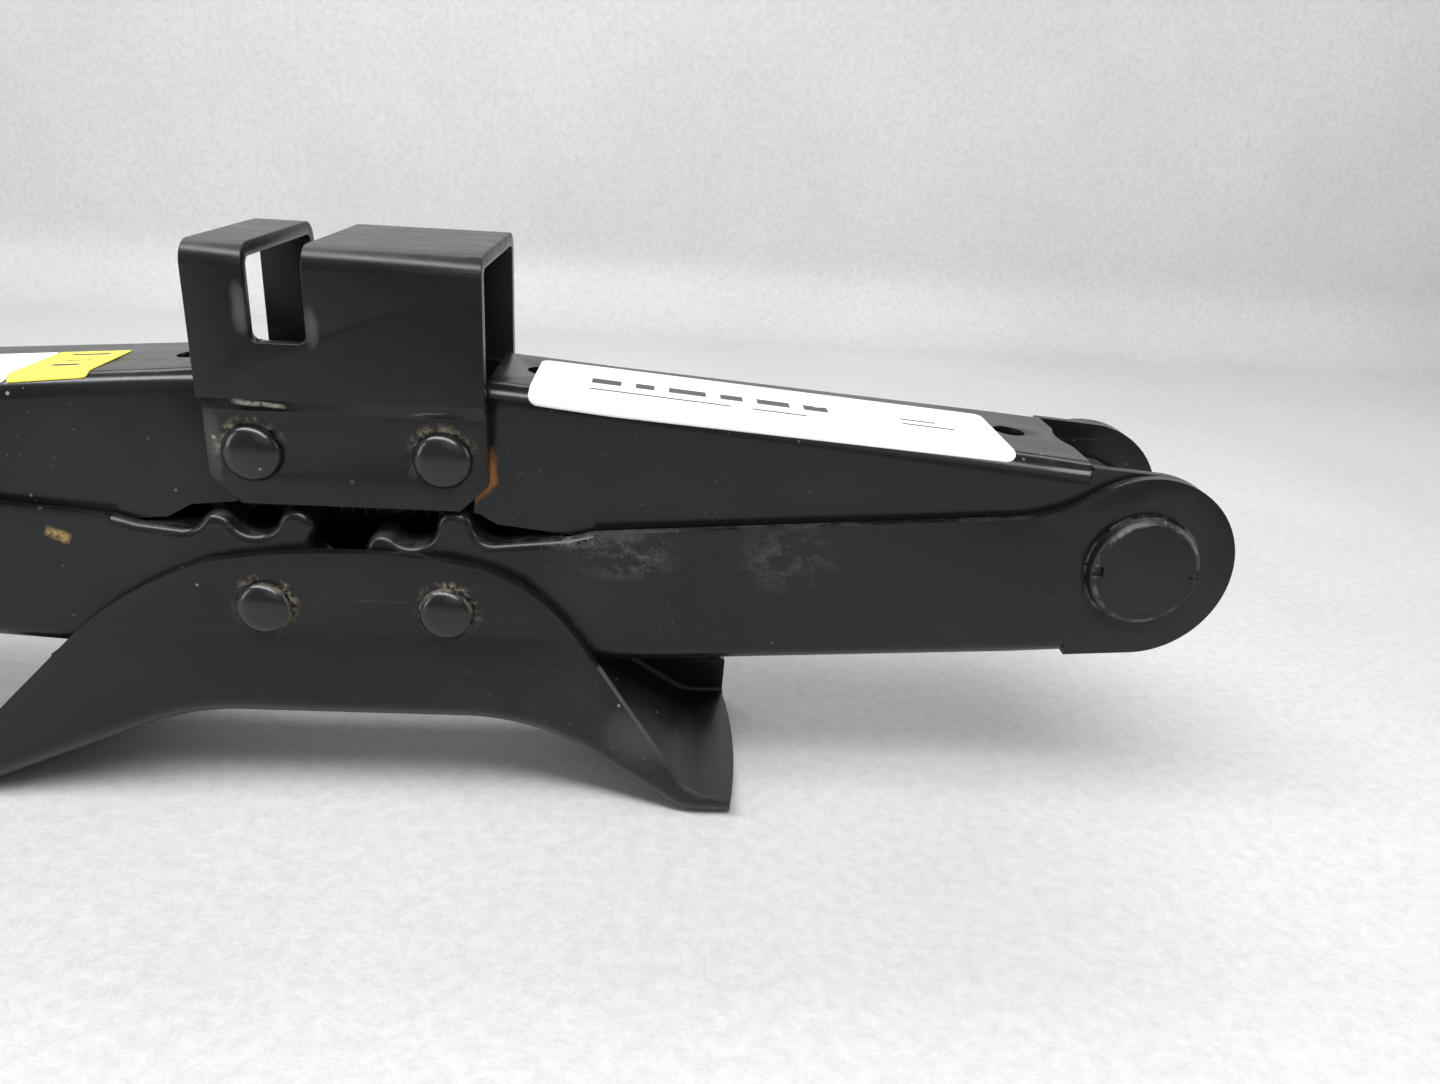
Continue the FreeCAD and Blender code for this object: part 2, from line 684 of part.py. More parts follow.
def make_trunnion(label, side, bore_rule, seats):
    """Cross shaft in the arms' ears with a bore for the screw and staking notches on its faces."""
    body = new_body(label)
    radius, half = "Sizes.trunnion_radius", "Sizes.trunnion_half"
    edge = 0.9
    top = [("0", half), (f"{radius} - {edge}", half), (radius, f"{half} - {edge}")]
    bottom = [(x_rule, f"-({y_rule})") for x_rule, y_rule in reversed(top)]
    revolve(body, "Shaft", turned_profile(body, "ShaftProfile", top + bottom), "V_Axis")

    bore = round_sketch(body, "BoreOutline", "YZ_Plane", [(0.0, 0.0)], bore_rule)
    pocket_through(body, "Bore", bore)
    reach = size("trunnion_radius") + 5.0
    if seats:
        flats = outline((-reach, -13.0), [(-SEAT_LEFT, -13.0), (-SEAT_LEFT, 13.0), (-reach, 13.0)])
        flats += outline((reach, -13.0), [(SEAT_RIGHT, -13.0), (SEAT_RIGHT, 13.0), (reach, 13.0)])
        pocket_through(body, "Seats", add_sketch(body, "SeatOutline", "XY_Plane", flats))
    notches = []
    outer = size("trunnion_radius") + 1.0
    for end in (-1, 1):
        face = end * size("trunnion_half")
        for hand in (-1, 1):
            notches += outline((hand * 10.4, face + end), [
                (hand * 10.4, face - end), (hand * outer, face - end), (hand * outer, face + end)])
    notch_sketch = add_sketch(body, "NotchOutline", "XY_Plane", notches)
    notch = body.newObject("PartDesign::Pocket", "Notches")
    notch.Profile = notch_sketch
    notch.SideType = "Symmetric"
    notch.Length = 2.6
    body.Placement = Placement(Vector(side * TRUNNION_X, 0, TRUNNION_Z), Rotation())
    return body


SEAT_LEFT = 10.0
SEAT_RIGHT = 12.0


# ---------------------------------------------------------------- screw and thrust bearing

FACE_FIT = 0.02
SEAT_X = -TRUNNION_X - SEAT_LEFT
FIXED_WASHER_X = SEAT_X - FACE_FIT - size("washer_thickness")
BALL_X = FIXED_WASHER_X - FACE_FIT - size("ball_radius")
TURNING_WASHER_X = BALL_X - size("ball_radius") - FACE_FIT - size("washer_thickness")
COLLAR_LENGTH = 12.0
COLLAR_X = TURNING_WASHER_X - FACE_FIT - COLLAR_LENGTH
SCREW_END_X = TRUNNION_X + size("trunnion_radius") + 5.2


def make_ring(label, x, length, outer_rule, inner_rule):
    """Round piece along X on the screw's line, with a hole unless the inner rule is empty."""
    body = new_body(label)
    inner = inner_rule or "0"
    points = [("0", inner), (str(length), inner), (str(length), outer_rule), ("0", outer_rule)]
    revolve(body, "Ring", turned_profile(body, "RingProfile", points), "H_Axis")
    body.Placement = Placement(Vector(x, 0, TRUNNION_Z), Rotation())
    return body


def cross_hole(body, x):
    """Hole along Y for the roll pin, at a distance from the body's left end."""
    hole = round_sketch(body, "PinHole", "XZ_Plane", [(x, 0.0)], "2.03")
    pocket_through(body, "PinBore", hole)


def make_screw_parts():
    """Lead screw with everything that turns with it, and the fixed washer."""
    screw_fit = "Sizes.screw_radius + 0.06"
    screw = make_ring("lead_screw", COLLAR_X, SCREW_END_X - COLLAR_X, "Sizes.screw_radius", "")
    cross_hole(screw, COLLAR_LENGTH / 2)
    collar = make_ring("thrust_collar", COLLAR_X, COLLAR_LENGTH, "Sizes.collar_radius", screw_fit)
    cross_hole(collar, COLLAR_LENGTH / 2)
    parts = {
        "lead_screw": screw,
        "thrust_collar": collar,
        "roll_pin": make_roll_pin(COLLAR_X + COLLAR_LENGTH / 2),
        "thrust_washer_fixed": make_ring("thrust_washer_fixed", FIXED_WASHER_X, size("washer_thickness"),
                                         "Sizes.washer_radius", screw_fit),
        "thrust_washer_turning": make_ring("thrust_washer_turning", TURNING_WASHER_X,
                                           size("washer_thickness"), "Sizes.washer_radius", screw_fit),
        "thrust_balls": make_balls(),
        "ball_cage": make_cage(),
        "retaining_ring": make_ring("retaining_ring", SEAT_RIGHT - TRUNNION_X + 0.3, 1.6,
                                    "Sizes.collar_radius", screw_fit),
        "stop_collar": make_ring("stop_collar", SCREW_END_X - 4.6, 4.0, "Sizes.screw_radius + 2.5",
                                 screw_fit),
        "drive_eye": make_drive_eye(),
    }
    return parts


def make_roll_pin(x):
    """Pin along Y that locks the collar to the screw."""
    pin = doc.addObject("Part::Cylinder", "roll_pin")
    pin.Label = "roll_pin"
    pin.Radius = 2.0
    pin.setExpression("Height", "Sizes.collar_radius * 2 - 1")
    pin.Placement = Placement(Vector(x, size("collar_radius") - 0.5, TRUNNION_Z),
                              Rotation(Vector(1, 0, 0), 90))
    return pin


BALL_COUNT = 10


def ball_places():
    """Centres of the balls in the bearing's plane."""
    return [polar(size("ball_circle"), index * 360.0 / BALL_COUNT) for index in range(BALL_COUNT)]


def make_balls():
    """Ring of thrust balls."""
    balls = []
    for index, (y, z) in enumerate(ball_places()):
        ball = doc.addObject("Part::Sphere", f"Ball{index}")
        ball.setExpression("Radius", "Sizes.ball_radius")
        ball.Placement = Placement(Vector(BALL_X, y, TRUNNION_Z + z), Rotation())
        balls.append(ball)
    ring = doc.addObject("Part::Compound", "thrust_balls")
    ring.Label = "thrust_balls"
    ring.Links = balls
    return ring


def make_cage():
    """Thin ring that spaces the balls."""
    body = make_ring("ball_cage", BALL_X - 0.8, 1.6, "Sizes.washer_radius + 0.3", "Sizes.screw_radius + 0.4")
    holes = round_sketch(body, "BallHoles", "YZ_Plane", ball_places(), "Sizes.ball_radius + 0.06")
    pocket_through(body, "BallSeats", holes)
    return body


def make_drive_eye():
    """Forged eye that a winding hook turns, with a round neck welded to the screw's end."""
    body = new_body("drive_eye")
    eye_x = -size("eye_radius") - 6.5
    ring = round_sketch(body, "EyeOutline", "XZ_Plane", [(eye_x, 0.0)], "Sizes.eye_radius")
    pad(body, "Eye", ring, "Sizes.eye_half * 2", symmetric=True)
    neck = round_sketch(body, "NeckOutline", "YZ_Plane", [(0.0, 0.0)], "Sizes.screw_radius - 0.2",
                        offset=-9.5)
    pad(body, "Neck", neck, "9.5")
    hole = round_sketch(body, "HoleOutline", "XZ_Plane", [(eye_x, 0.0)], "Sizes.eye_hole")
    pocket_through(body, "Hole", hole)
    body.Placement = Placement(Vector(COLLAR_X - FACE_FIT, 0, TRUNNION_Z), Rotation())
    return body


# ---------------------------------------------------------------- labels

def make_label(label, arm, side, x_from, x_to, y_from, y_to, corner):
    """Thin plate with round corners on an upper arm's web."""
    body = new_body(label)
    length, width = x_to - x_from, y_to - y_from
    edges = outline((corner, 0.0), [
        (length - corner, 0.0), arc_to((length - corner, corner), corner, 270, 360),
        (length, width - corner), arc_to((length - corner, width - corner), corner, 0, 90),
        (corner, width), arc_to((corner, width - corner), corner, 90, 180),
        (0.0, corner), arc_to((corner, corner), corner, 180, 270)])
    pad(body, "Plate", add_sketch(body, "PlateOutline", "XY_Plane", edges), "Sizes.label_thickness")
    start = x_from if side > 0 else x_to
    slope = math.degrees(math.atan(0.0297))
    seat = Placement(Vector(side * start, y_from, FACE_FIT - web_height(start)),
                     Rotation(Vector(0, 1, 0), -side * slope))
    body.Placement = arm.Placement.multiply(seat)
    return body


def make_labels(arms):
    """White plate on the right arm; yellow and white plates on the left arm."""
    left, right = arms["upper_arm_left"], arms["upper_arm_right"]
    return {
        "label_white_right": make_label("label_white_right", right, 1, 21.0, 128.0, -13.0, 11.0, 3.0),
        "label_yellow_left": make_label("label_yellow_left", left, -1, 35.0, 53.0, -13.0, 10.0, 1.5),
        "label_white_left": make_label("label_white_left", left, -1, 53.2, 128.0, -13.0, 10.0, 1.5),
    }


# ---------------------------------------------------------------- build and export

def main():
    """Build every node, check it and write its STEP file."""
    nodes = {"base_plate": make_base_plate(), "saddle": make_saddle()}
    arms = make_arms()
    nodes.update(arms)
    nodes.update(make_pins())
    nodes["saddle_bushes"] = make_saddle_bushes()
    nodes["trunnion_block"] = make_trunnion("trunnion_block", -1, "Sizes.screw_radius + 0.08", True)
    nodes["trunnion_nut"] = make_trunnion("trunnion_nut", 1, "Sizes.screw_radius + Sizes.nut_fit", False)
    nodes.update(make_screw_parts())
    nodes.update(make_labels(arms))
    doc.recompute()

    for item in doc.Objects:
        if "Invalid" in item.State or "Error" in item.State:
            raise RuntimeError(f"{item.Name} did not build: {item.State}")
    os.makedirs("parts", exist_ok=True)
    for name, node in nodes.items():
        if node.Shape.isNull() or not node.Shape.isValid():
            raise RuntimeError(f"{name} has a bad shape")
        node.Shape.exportStep(f"parts/{name}.step")
    print(f"{len(nodes)} nodes written")


main()
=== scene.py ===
import json
import math

import bmesh
import bpy
from mathutils import Matrix, Vector


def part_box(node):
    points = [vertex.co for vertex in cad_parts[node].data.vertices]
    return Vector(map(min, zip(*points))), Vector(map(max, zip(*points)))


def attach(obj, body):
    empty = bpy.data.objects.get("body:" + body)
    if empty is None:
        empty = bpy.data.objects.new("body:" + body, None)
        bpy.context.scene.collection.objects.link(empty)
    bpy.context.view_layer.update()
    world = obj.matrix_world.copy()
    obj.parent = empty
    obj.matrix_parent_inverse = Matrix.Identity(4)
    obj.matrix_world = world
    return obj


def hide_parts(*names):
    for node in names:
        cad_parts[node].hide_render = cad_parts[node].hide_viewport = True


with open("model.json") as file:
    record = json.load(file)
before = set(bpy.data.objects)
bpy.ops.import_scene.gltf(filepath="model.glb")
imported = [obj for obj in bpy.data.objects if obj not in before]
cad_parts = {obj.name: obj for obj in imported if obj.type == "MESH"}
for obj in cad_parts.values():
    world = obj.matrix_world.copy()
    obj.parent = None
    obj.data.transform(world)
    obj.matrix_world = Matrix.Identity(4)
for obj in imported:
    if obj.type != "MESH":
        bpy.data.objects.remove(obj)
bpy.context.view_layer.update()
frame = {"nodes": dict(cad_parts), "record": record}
MM = 0.001


# ---------------------------------------------------------------- camera, floor and light

CAMERA_PLACE = Vector((69.7, -254.3, 167.05)) * MM
CAMERA_YAW = 3.70
CAMERA_PITCH = 22.14
CAMERA_ROLL = 3.64
CAMERA_LENS = 26.66

LIGHT_TARGET = (0.05, 0.0, 0.06)
# Each light has a name, a place in metres, a size in metres, its watts and its colour.
LIGHTS = (
    ("strip_back", (0.05, 0.45, 0.70), (1.5, 0.14), 3.5, (0.93, 0.965, 1.0)),
    ("strip_above", (-0.1, -0.36, 0.86), (1.5, 0.20), 16.0, (0.94, 0.97, 1.0)),
    ("strip_left", (-0.75, -0.35, 0.30), (0.12, 0.5), 1.6, (0.85, 0.92, 1.0)),
    ("strip_right", (0.95, -0.05, 0.34), (0.12, 0.5), 1.6, (0.85, 0.92, 1.0)),
    ("front_fill", (0.35, -0.9, 0.60), (1.0, 0.5), 0.9, (1.0, 0.99, 0.97)),
)
WORLD_COLOUR = (0.96, 0.975, 0.98, 1)
WORLD_STRENGTH = 0.27

FLOOR_REACH = 3.0
WALL_BACK = 0.62
WALL_TOP = 2.2
WALL_CURVE = 0.06
FLOOR_LIGHT = (0.60, 0.595, 0.570, 1)
FLOOR_DULL = (0.54, 0.535, 0.510, 1)
FLOOR_GRAIN = (0.34, 0.33, 0.30, 1)


def add_camera():
    """Camera in front of the jack, looking down at it, slightly rolled."""
    yaw, pitch, roll = (math.radians(a) for a in (CAMERA_YAW, CAMERA_PITCH, CAMERA_ROLL))
    level = Vector((math.sin(yaw), math.cos(yaw), 0))
    side = Vector((math.cos(yaw), -math.sin(yaw), 0))
    up = Vector((0, 0, 1))
    ahead = level * math.cos(pitch) - up * math.sin(pitch)
    above = up * math.cos(pitch) + level * math.sin(pitch)
    right = side * math.cos(roll) + above * math.sin(roll)
    top = above * math.cos(roll) - side * math.sin(roll)
    data = bpy.data.cameras.new("camera")
    data.lens = CAMERA_LENS
    data.sensor_width = 36.0
    data.clip_start = 0.01
    camera = bpy.data.objects.new("camera", data)
    turn = Matrix((right, top, -ahead)).transposed().to_4x4()
    camera.matrix_world = Matrix.Translation(CAMERA_PLACE) @ turn
    bpy.context.scene.collection.objects.link(camera)
    bpy.context.scene.camera = camera


def add_area_light(name, place, target, size, watts, colour):
    """Soft rectangular light aimed at a point."""
    data = bpy.data.lights.new(name, "AREA")
    data.shape = "RECTANGLE"
    data.size, data.size_y = size
    data.energy = watts
    data.color = colour
    light = bpy.data.objects.new(name, data)
    light.location = place
    light.rotation_euler = (Vector(target) - Vector(place)).to_track_quat("-Z", "Y").to_euler()
    bpy.context.scene.collection.objects.link(light)


def add_lights():
    """Long strips overhead, narrow cool ones at both ends, weak fill in front, dim world."""
    for name, place, size, watts, colour in LIGHTS:
        add_area_light(name, place, LIGHT_TARGET, size, watts, colour)
    world = bpy.data.worlds.new("world")
    world.use_nodes = True
    background = world.node_tree.nodes["Background"]
    background.inputs["Color"].default_value = WORLD_COLOUR
    background.inputs["Strength"].default_value = WORLD_STRENGTH
    bpy.context.scene.world = world
    bpy.context.scene.view_settings.view_transform = "Standard"


# ---------------------------------------------------------------- shader helpers

class Shader:
    """A principled material with short calls for the nodes that these surfaces use."""

    def __init__(self, name):
        self.material = bpy.data.materials.new(name)
        self.material.use_nodes = True
        self.tree = self.material.node_tree
        self.bsdf = self.tree.nodes["Principled BSDF"]
        self.place = self.tree.nodes.new("ShaderNodeTexCoord").outputs["Object"]

    def link(self, value, socket):
        """Feed a socket from a node output, or set it to a constant."""
        if isinstance(value, bpy.types.NodeSocket):
            self.tree.links.new(value, socket)
        else:
            socket.default_value = value

    def math(self, operation, first, second=0.0):
        """One step of arithmetic on two values."""
        node = self.tree.nodes.new("ShaderNodeMath")
        node.operation = operation
        self.link(first, node.inputs[0])
        self.link(second, node.inputs[1])
        return node.outputs[0]

    def product(self, first, *others):
        """All the values multiplied together."""
        for value in others:
            first = self.math("MULTIPLY", first, value)
        return first

    def scaled(self, value, factor, offset):
        """A value times a factor, plus an offset."""
        return self.math("ADD", self.math("MULTIPLY", value, factor), offset)

    def vector(self, operation, first, second=(0, 0, 0)):
        """One step of vector arithmetic, which gives a number for a length or a dot product."""
        node = self.tree.nodes.new("ShaderNodeVectorMath")
        node.operation = operation
        self.link(first, node.inputs[0])
        self.link(second, node.inputs[1])
        return node.outputs["Value" if operation in ("LENGTH", "DOT_PRODUCT") else "Vector"]

    def noise(self, scale, detail, stretch=(1, 1, 1), rough=0.55):
        """Cloudy noise with about scale features in one metre."""
        node = self.tree.nodes.new("ShaderNodeTexNoise")
        node.inputs["Scale"].default_value = scale
        node.inputs["Detail"].default_value = detail
        node.inputs["Roughness"].default_value = rough
        self.link(self.vector("MULTIPLY", self.place, stretch), node.inputs["Vector"])
        return node.outputs["Fac"]

    def specks(self, scale, size):
        """Small separate dots: 1 inside a dot, 0 outside."""
        node = self.tree.nodes.new("ShaderNodeTexVoronoi")
        node.inputs["Scale"].default_value = scale
        node.inputs["Randomness"].default_value = 1.0
        self.link(self.place, node.inputs["Vector"])
        return self.ramp(node.outputs["Distance"], size, size * 0.6)

    def ramp(self, value, low, high):
        """0 at low and 1 at high, straight between them; low may be the larger."""
        node = self.tree.nodes.new("ShaderNodeMapRange")
        node.clamp = True
        node.inputs["From Min"].default_value = low
        node.inputs["From Max"].default_value = high
        self.link(value, node.inputs["Value"])
        return node.outputs["Result"]

    def distance(self, centre, squeeze):
        """Distance in metres from a point, with axes weighted by squeeze."""
        away = self.vector("SUBTRACT", self.place, centre)
        return self.vector("LENGTH", self.vector("MULTIPLY", away, squeeze))

    def axis(self, name, vector=None):
        """One coordinate, of the place on the object unless another vector is given."""
        node = self.tree.nodes.new("ShaderNodeSeparateXYZ")
        self.link(vector or self.place, node.inputs[0])
        return node.outputs[name]

    def mix(self, factor, first, second, kind="RGBA"):
        """Blend of two colours, or of two numbers if kind is FLOAT."""
        node = self.tree.nodes.new("ShaderNodeMix")
        node.data_type = kind
        self.link(factor, node.inputs["Factor"])
        self.link(first, node.inputs["A"])
        self.link(second, node.inputs["B"])
        return node.outputs["Result"]

    def bump(self, height, distance, strength):
        """Relief from a height, distance metres deep."""
        node = self.tree.nodes.new("ShaderNodeBump")
        node.inputs["Distance"].default_value = distance
        node.inputs["Strength"].default_value = strength
        self.link(height, node.inputs["Height"])
        self.tree.links.new(node.outputs["Normal"], self.bsdf.inputs["Normal"])

    def finish(self, colour, roughness, metallic=0.0):
        """The finished material."""
        self.link(colour, self.bsdf.inputs["Base Color"])
        self.link(roughness, self.bsdf.inputs["Roughness"])
        self.bsdf.inputs["Metallic"].default_value = metallic
        return self.material


# ---------------------------------------------------------------- where things are

REST_ANGLE = math.radians(6.4)
RECORD = frame["record"]
BODY_OF = {node: body for body, nodes in RECORD["behaviour"]["bodies"].items() for node in nodes}


def at(x, y, z):
    """Point or offset given in mm."""
    return Vector((x, y, z)) * MM


def middle(node):
    """Centre of a CAD node's box."""
    low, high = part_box(node)
    return (low + high) / 2


BASE_PINS = [middle("base_pin_left"), middle("base_pin_right")]
SADDLE_PINS = [middle("saddle_pin_left"), middle("saddle_pin_right")]
TRUNNIONS = [middle("trunnion_block"), middle("trunnion_nut")]


# ---------------------------------------------------------------- surfaces

BLACK = (0.0045, 0.0046, 0.0050, 1)
BLACK_CLOUD = (0.0070, 0.0070, 0.0074, 1)
DUST = (0.24, 0.235, 0.22, 1)
CHALK = (0.20, 0.195, 0.18, 1)
EARTH = (0.36, 0.30, 0.21, 1)
RUST = (0.30, 0.115, 0.030, 1)
BARE = (0.16, 0.15, 0.145, 1)
PALE = (0.42, 0.39, 0.33, 1)
OCHRE = (0.36, 0.24, 0.08, 1)
DOT = (0.42, 0.41, 0.38, 1)
WORN = (0.085, 0.078, 0.070, 1)
INK = (0.05, 0.05, 0.055, 1)
FAINT_INK = (0.30, 0.31, 0.34, 1)
LABEL_DIRT = (0.25, 0.22, 0.18, 1)
FINE_RELIEF = 0.05 * MM
FILM_RELIEF = 0.04 * MM
FLAT = (1, 0, 1)


def layered_paint(name, layers, gloss, shine=0.33):
    """Semi-gloss black paint with a slight orange peel, dust, fine scratches and local wear.

    Each layer is a function of the shader that gives (mask, colour, roughness)."""
    shader = Shader(name)
    colour = shader.mix(shader.ramp(shader.noise(34, 4), 0.35, 0.7), BLACK, BLACK_CLOUD)
    rough = shader.scaled(shader.ramp(shader.noise(90, 4), 0.2, 0.8), 0.10, gloss - 0.05)
    hairline = shader.ramp(shader.noise(55, 5, (0.25, 1.0, 9.0), 0.7), 0.66, 0.74)
    colour = shader.mix(shader.product(hairline, 0.10), colour, DUST)
    film = shader.ramp(shader.noise(16, 6, rough=0.7), 0.52, 0.80)
    colour = shader.mix(shader.product(film, 0.03), colour, DUST)
    for make_layer in layers:
        mask, tint, dullness = make_layer(shader)
        colour = shader.mix(mask, colour, tint)
        rough = shader.mix(mask, rough, dullness, "FLOAT")
    colour = shader.mix(shader.product(dust_dots(shader), 0.55), colour, DOT)
    peel = shader.math("ADD", shader.noise(620, 2), shader.product(shader.noise(150, 2), 1.5))
    relief = shader.math("SUBTRACT", peel, shader.product(hairline, 0.8))
    shader.bump(relief, FINE_RELIEF, 0.40)
    shader.bsdf.inputs["Specular IOR Level"].default_value = shine
    return shader.finish(colour, rough)


def dust_dots(shader):
    """Mask of single dust grains in loose groups, with finer and fainter ones between them."""
    coarse = shader.product(shader.specks(150, 0.075), shader.ramp(shader.noise(22, 2), 0.48, 0.60))
    fine = shader.product(shader.specks(420, 0.09), shader.ramp(shader.noise(12, 3), 0.45, 0.65))
    return shader.math("MAXIMUM", coarse, shader.product(fine, 0.5))


def patch(centre, radius, tint, strength, dullness, squeeze, grain=160, cover=0.5):
    """Broken stain round a point: strongest in the middle, ragged outwards."""
    def layer(shader):
        near = shader.ramp(shader.distance(centre, squeeze), radius, radius * 0.15)
        ragged = shader.math("ADD", shader.noise(grain, 5, rough=0.75), shader.product(near, 0.6))
        broken = shader.ramp(ragged, 1.12 - cover, 1.32 - cover)
        return shader.product(broken, near, strength), tint, dullness
    return layer


def rivet_crumbs(centre, inner, outer, strength=0.9, lean=0.4, least=0.1):
    """Broken crumbs of dirt round a rivet head, mostly on its upper side.

    lean moves them to the right of the top, and least is what stays all round."""
    def layer(shader):
        away = shader.distance(centre, FLAT)
        rise = shader.ramp(away, inner - 0.3 * MM, inner + 0.1 * MM)
        fall = shader.ramp(away, outer, inner + 0.4 * MM)
        rightward = shader.product(shader.math("SUBTRACT", shader.axis("X"), centre.x), lean)
        upward = shader.math("ADD", shader.math("SUBTRACT", shader.axis("Z"), centre.z), rightward)
        side = shader.math("MAXIMUM", shader.ramp(upward, -2.5 * MM, inner), least)
        ragged = shader.ramp(shader.noise(520, 5, rough=0.85), 0.47, 0.56)
        clump = shader.ramp(shader.noise(190, 3), 0.40, 0.58)
        return shader.product(rise, fall, ragged, clump, side, strength), EARTH, 0.85
    return layer


def turned_rim(centre, inner, outer, tint, strength):
    """Thin ragged ring of rubbed paint round a turned face."""
    def layer(shader):
        away = shader.distance(centre, FLAT)
        rise = shader.ramp(away, inner - 0.2 * MM, inner + 0.2 * MM)
        fall = shader.ramp(away, outer + 0.2 * MM, outer - 0.2 * MM)
        ragged = shader.ramp(shader.noise(150, 5, rough=0.8), 0.44, 0.60)
        return shader.product(rise, fall, ragged, strength), tint, 0.7
    return layer


def edge_rust(corner, reach):
    """Rust that creeps out from behind the saddle's lower right corner onto the arm."""
    def layer(shader):
        right = shader.math("SUBTRACT", shader.axis("X"), corner.x)
        down = shader.math("SUBTRACT", corner.z, shader.axis("Z"))
        chamfer = shader.product(shader.math("ADD", right, down), math.sqrt(0.5))
        away = shader.math("MAXIMUM", right, chamfer)
        ragged = shader.product(shader.noise(330, 5, rough=0.8), 2.4 * MM)
        band = shader.ramp(shader.math("ADD", away, ragged), reach, reach * 0.55)
        outside = shader.ramp(away, -1.2 * MM, -0.6 * MM)
        height = shader.ramp(down, -9 * MM, -3 * MM)
        pits = shader.ramp(shader.noise(900, 3, rough=0.8), 0.25, 0.5)
        return shader.product(band, height, pits, outside), RUST, 0.9
    return layer


def scratch(start, end, width, tint, strength=0.9):
    """One short broken scratch between two points on a front face."""
    along = (end - start).normalized()
    across = Vector((-along.z, 0, along.x))
    centre = (start + end) / 2
    half = (end - start).length / 2

    def layer(shader):
        away = shader.vector("SUBTRACT", shader.place, centre)
        forward = shader.math("ABSOLUTE", shader.vector("DOT_PRODUCT", away, along))
        wave = shader.scaled(shader.noise(210, 2), 1.4 * MM, -0.7 * MM)
        sideways = shader.math("ADD", shader.vector("DOT_PRODUCT", away, across), wave)
        sideways = shader.math("ABSOLUTE", sideways)
        ends = shader.ramp(forward, half, half * 0.6)
        sides = shader.ramp(sideways, width, width * 0.3)
        broken = shader.ramp(shader.noise(700, 4, rough=0.8), 0.36, 0.52)
        return shader.product(ends, sides, broken, strength), tint, 0.7
    return layer


def smear(centre, radius, squeeze, strength):
    """Dry chalky smear, streaky and strongest in the middle."""
    def layer(shader):
        near = shader.ramp(shader.distance(centre, squeeze), radius, radius * 0.25)
        streak = shader.ramp(shader.noise(75, 6, (1.6, 1.0, 2.4), 0.8), 0.47, 0.66)
        return shader.product(streak, near, strength), CHALK, 0.85
    return layer


def worn_top(height):
    """Paint rubbed dull and grey on what touches the car: the saddle's top."""
    def layer(shader):
        top = shader.ramp(shader.axis("Z"), height - 2.6 * MM, height - 0.6 * MM)
        rub = shader.ramp(shader.noise(60, 6, (1, 2.5, 1), 0.7), 0.30, 0.75)
        return shader.product(top, rub, 0.62), WORN, 0.72
    return layer


def settled_dust(strength):
    """Dust on faces that look up."""
    def layer(shader):
        normal = shader.tree.nodes.new("ShaderNodeNewGeometry").outputs["Normal"]
        up = shader.ramp(shader.axis("Z", normal), 0.55, 0.95)
        cloud = shader.ramp(shader.noise(48, 6, rough=0.75), 0.46, 0.78)
        return shader.product(up, cloud, strength), DUST, 0.8
    return layer


def bare_steel(name, tint, roughness, grime, turned_axis=None):
    """Turned or forged steel: fine tool marks, oily darkening and small rust freckles."""
    shader = Shader(name)
    stretch = {"X": (7, 1, 1), "Y": (1, 7, 1), None: (1, 1, 1)}[turned_axis]
    marks = shader.noise(380, 4, stretch, 0.7)
    cloud = shader.ramp(shader.noise(42, 5, rough=0.7), 0.38, 0.68)
    colour = shader.mix(shader.product(cloud, grime), tint, darker(tint, 0.35))
    freckle = shader.product(shader.specks(210, 0.22), shader.ramp(shader.noise(30, 3), 0.5, 0.66))
    colour = shader.mix(shader.product(freckle, 0.55), colour, RUST)
    rough = shader.scaled(shader.ramp(marks, 0.3, 0.7), 0.18, roughness)
    rough = shader.math("ADD", rough, shader.product(freckle, 0.3))
    shader.bump(marks, FINE_RELIEF, 0.5)
    return shader.finish(colour, rough, metallic=1.0)


def darker(colour, share):
    """A colour with its light cut to a share."""
    return tuple(part * share for part in colour[:3]) + (1,)


def printed_film(name, ground, bars, ink=INK):
    """Label film with plain printed bars. Each bar is (low X, high X, low Y, high Y) in mm."""
    shader = Shader(name)
    x, y = shader.axis("X"), shader.axis("Y")
    printed = 0.0
    for low_x, high_x, low_y, high_y in bars:
        lengthwise = soft_band(shader, x, low_x, high_x)
        crosswise = soft_band(shader, y, low_y, high_y)
        printed = shader.math("MAXIMUM", printed, shader.product(lengthwise, crosswise))
    cloud = shader.ramp(shader.noise(40, 4), 0.35, 0.75)
    paper = shader.mix(shader.product(cloud, 0.10), ground, darker(ground, 0.80))
    worn_ink = shader.product(printed, shader.ramp(shader.noise(300, 4), 0.22, 0.34))
    colour = shader.mix(worn_ink, paper, ink)
    dirt = shader.product(shader.specks(170, 0.10), shader.ramp(shader.noise(25, 3), 0.5, 0.62))
    colour = shader.mix(shader.product(dirt, 0.35), colour, LABEL_DIRT)
    shader.bump(shader.noise(210, 3), FILM_RELIEF, 0.4)
    return shader.finish(colour, shader.scaled(cloud, 0.12, 0.5))


def soft_band(shader, value, low, high):
    """1 between two positions in mm, with a narrow soft edge."""
    edge = 0.12
    rise = shader.ramp(value, (low - edge) * MM, (low + edge) * MM)
    fall = shader.ramp(value, (high + edge) * MM, (high - edge) * MM)
    return shader.product(rise, fall)


# ---------------------------------------------------------------- pieces

SAME_PLANE = math.radians(0.6)
SHARP_EDGE = math.radians(32)

